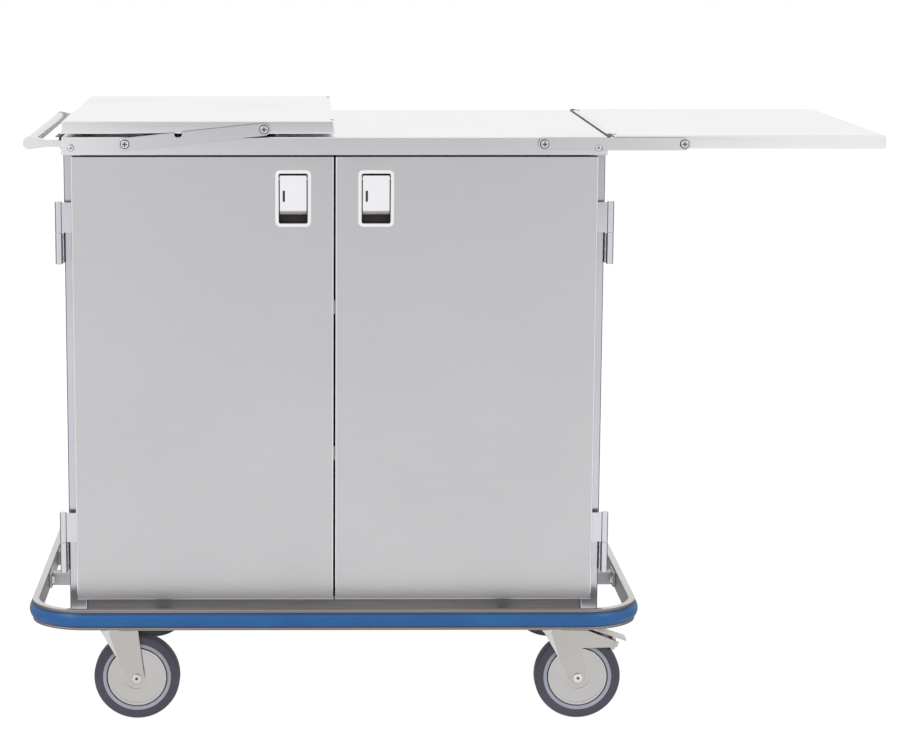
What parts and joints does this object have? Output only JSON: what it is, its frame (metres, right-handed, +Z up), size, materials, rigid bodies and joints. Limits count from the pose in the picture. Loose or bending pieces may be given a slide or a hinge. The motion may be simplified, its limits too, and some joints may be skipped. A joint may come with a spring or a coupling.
{
  "type": "case cart",
  "caption": "Closed stainless case cart with double doors, flush latches, swing-over top leaves, side push handle, blue bumper and swivel casters.",
  "frame": {"origin": "on the floor, under the middle of the cabinet", "axes": "+X to the cart's right as seen from the door side, along its length; +Y from the doors to the back; +Z up"},
  "size_m": [1.4775, 0.795, 1.067],
  "materials": {
    "brushed_stainless": "brushed satin",
    "polished_stainless": "fine satin, almost bright",
    "frame_steel": "mill finish",
    "chassis_steel": "mill finish, darker",
    "bright_zinc": "bright plated",
    "fastener_steel": "turned, bright",
    "latch_silver": "silver-white satin",
    "blue_vinyl": "smooth semi-matt",
    "grey_tyre": "semi-matt non-marking rubber"
  },
  "bodies": {
    "cart": {"deck": "polished_stainless", "posts": "brushed_stainless", "top_rails": "frame_steel", "chassis": "chassis_steel", "left_panel": "brushed_stainless", "right_panel": "brushed_stainless", "back_panel": "brushed_stainless", "floor_panel": "brushed_stainless", "pilasters": "frame_steel", "shelf_rails": "frame_steel", "shelves": "polished_stainless", "keeper_angles": "polished_stainless", "deck_pivots": "fastener_steel", "handle_tube": "polished_stainless", "handle_brackets": "polished_stainless", "bumper_channel": "frame_steel", "bumper_insert": "blue_vinyl", "bumper_brackets": "frame_steel", "post_hinges": "polished_stainless", "strikes": "frame_steel", "caster_plates": "bright_zinc"},
    "left_links": {"left_arms": "polished_stainless"},
    "left_top_leaf": {"left_leaf": "polished_stainless", "left_stiffener": "frame_steel", "left_leaf_pivots": "fastener_steel"},
    "left_door_leaf": {"left_door": "brushed_stainless", "left_door_liner": "brushed_stainless", "left_door_hinges": "polished_stainless", "left_latch_cup": "latch_silver"},
    "left_latch_paddle": {"left_paddle": "latch_silver"},
    "left_latch_rod": {"left_latch_bolt": "fastener_steel"},
    "right_links": {"right_arms": "polished_stainless"},
    "right_top_leaf": {"right_leaf": "polished_stainless", "right_stiffener": "frame_steel", "right_leaf_pivots": "fastener_steel"},
    "right_door_leaf": {"right_door": "brushed_stainless", "right_door_liner": "brushed_stainless", "right_door_hinges": "polished_stainless", "right_latch_cup": "latch_silver"},
    "right_latch_paddle": {"right_paddle": "latch_silver"},
    "right_latch_rod": {"right_latch_bolt": "fastener_steel"},
    "front_left_caster": {"front_left_fork": "bright_zinc", "front_left_axle": "fastener_steel"},
    "front_left_roller": {"front_left_wheel": "bright_zinc", "front_left_tyre": "grey_tyre"},
    "front_right_caster": {"front_right_fork": "bright_zinc", "front_right_axle": "fastener_steel"},
    "front_right_roller": {"front_right_wheel": "bright_zinc", "front_right_tyre": "grey_tyre"},
    "rear_left_caster": {"rear_left_fork": "bright_zinc", "rear_left_axle": "fastener_steel"},
    "rear_left_roller": {"rear_left_wheel": "bright_zinc", "rear_left_tyre": "grey_tyre"},
    "rear_right_caster": {"rear_right_fork": "bright_zinc", "rear_right_axle": "fastener_steel"},
    "rear_right_roller": {"rear_right_wheel": "bright_zinc", "rear_right_tyre": "grey_tyre"},
    "front_right_brake": {"front_right_pedal": "bright_zinc"},
    "rear_left_brake": {"rear_left_pedal": "bright_zinc"}
  },
  "joints": [
    {"name": "left_door_swing", "type": "hinge", "parent": "cart", "child": "left_door_leaf", "pos_m": [-0.4735, -0.32, 0.6], "axis": [0, 0, -1], "range_deg": [0, 270]},
    {"name": "left_paddle_pull", "type": "hinge", "parent": "left_door_leaf", "child": "left_latch_paddle", "pos_m": [-0.071, -0.322, 0.9682], "axis": [1, 0, 0], "range_deg": [-25, 0], "stiffness_Nm_per_rad": 0.5, "springref_deg": 14.32},
    {"name": "left_bolt_slide", "type": "slide", "parent": "left_door_leaf", "child": "left_latch_rod", "axis": [0, 0, 1], "range_m": [-0.0057, 0]},
    {"name": "left_arm_swing", "type": "hinge", "parent": "cart", "child": "left_links", "pos_m": [-0.35769, 0, 1.028], "axis": [0, -1, 0], "range_deg": [0, 173.98]},
    {"name": "left_leaf_level", "type": "hinge", "parent": "left_links", "child": "left_top_leaf", "pos_m": [-0.1205, 0, 1.053], "axis": [0, -1, 0], "range_deg": [-173.98, 0]},
    {"name": "right_door_swing", "type": "hinge", "parent": "cart", "child": "right_door_leaf", "pos_m": [0.4735, -0.32, 0.6], "axis": [0, 0, 1], "range_deg": [0, 270]},
    {"name": "right_paddle_pull", "type": "hinge", "parent": "right_door_leaf", "child": "right_latch_paddle", "pos_m": [0.071, -0.322, 0.9682], "axis": [1, 0, 0], "range_deg": [-25, 0], "stiffness_Nm_per_rad": 0.5, "springref_deg": 14.32},
    {"name": "right_bolt_slide", "type": "slide", "parent": "right_door_leaf", "child": "right_latch_rod", "axis": [0, 0, 1], "range_m": [-0.0057, 0]},
    {"name": "right_arm_swing", "type": "hinge", "parent": "cart", "child": "right_links", "pos_m": [0.35769, 0, 1.028], "axis": [0, -1, 0], "range_deg": [0, 173.98]},
    {"name": "right_leaf_level", "type": "hinge", "parent": "right_links", "child": "right_top_leaf", "pos_m": [0.5962, 0, 1.028], "axis": [0, -1, 0], "range_deg": [-173.98, 0]},
    {"name": "front_left_swivel", "type": "hinge", "parent": "cart", "child": "front_left_caster", "pos_m": [-0.392, -0.272, 0.17], "axis": [0, 0, 1], "continuous": true},
    {"name": "front_left_spin", "type": "hinge", "parent": "front_left_caster", "child": "front_left_roller", "pos_m": [-0.35, -0.272, 0.0762], "axis": [0, 1, 0], "continuous": true},
    {"name": "front_right_swivel", "type": "hinge", "parent": "cart", "child": "front_right_caster", "pos_m": [0.392, -0.272, 0.17], "axis": [0, 0, 1], "continuous": true},
    {"name": "front_right_spin", "type": "hinge", "parent": "front_right_caster", "child": "front_right_roller", "pos_m": [0.434, -0.272, 0.0762], "axis": [0, 1, 0], "continuous": true},
    {"name": "rear_left_swivel", "type": "hinge", "parent": "cart", "child": "rear_left_caster", "pos_m": [-0.392, 0.272, 0.17], "axis": [0, 0, 1], "continuous": true},
    {"name": "rear_left_spin", "type": "hinge", "parent": "rear_left_caster", "child": "rear_left_roller", "pos_m": [-0.35, 0.272, 0.0762], "axis": [0, 1, 0], "continuous": true},
    {"name": "rear_right_swivel", "type": "hinge", "parent": "cart", "child": "rear_right_caster", "pos_m": [0.392, 0.272, 0.17], "axis": [0, 0, 1], "continuous": true},
    {"name": "rear_right_spin", "type": "hinge", "parent": "rear_right_caster", "child": "rear_right_roller", "pos_m": [0.434, 0.272, 0.0762], "axis": [0, 1, 0], "continuous": true},
    {"name": "front_right_brake_press", "type": "hinge", "parent": "front_right_caster", "child": "front_right_brake", "pos_m": [0.498, -0.272, 0.138], "axis": [0, 1, 0], "range_deg": [0, 12]},
    {"name": "rear_left_brake_press", "type": "hinge", "parent": "rear_left_caster", "child": "rear_left_brake", "pos_m": [-0.286, 0.272, 0.138], "axis": [0, 1, 0], "range_deg": [0, 12]}
  ],
  "couplings": [
    {"joint": "left_bolt_slide", "follows": "left_paddle_pull", "m_per_rad": 0.013},
    {"joint": "left_leaf_level", "follows": "left_arm_swing", "ratio": -1},
    {"joint": "right_bolt_slide", "follows": "right_paddle_pull", "m_per_rad": 0.013},
    {"joint": "right_leaf_level", "follows": "right_arm_swing", "ratio": -1}
  ]
}
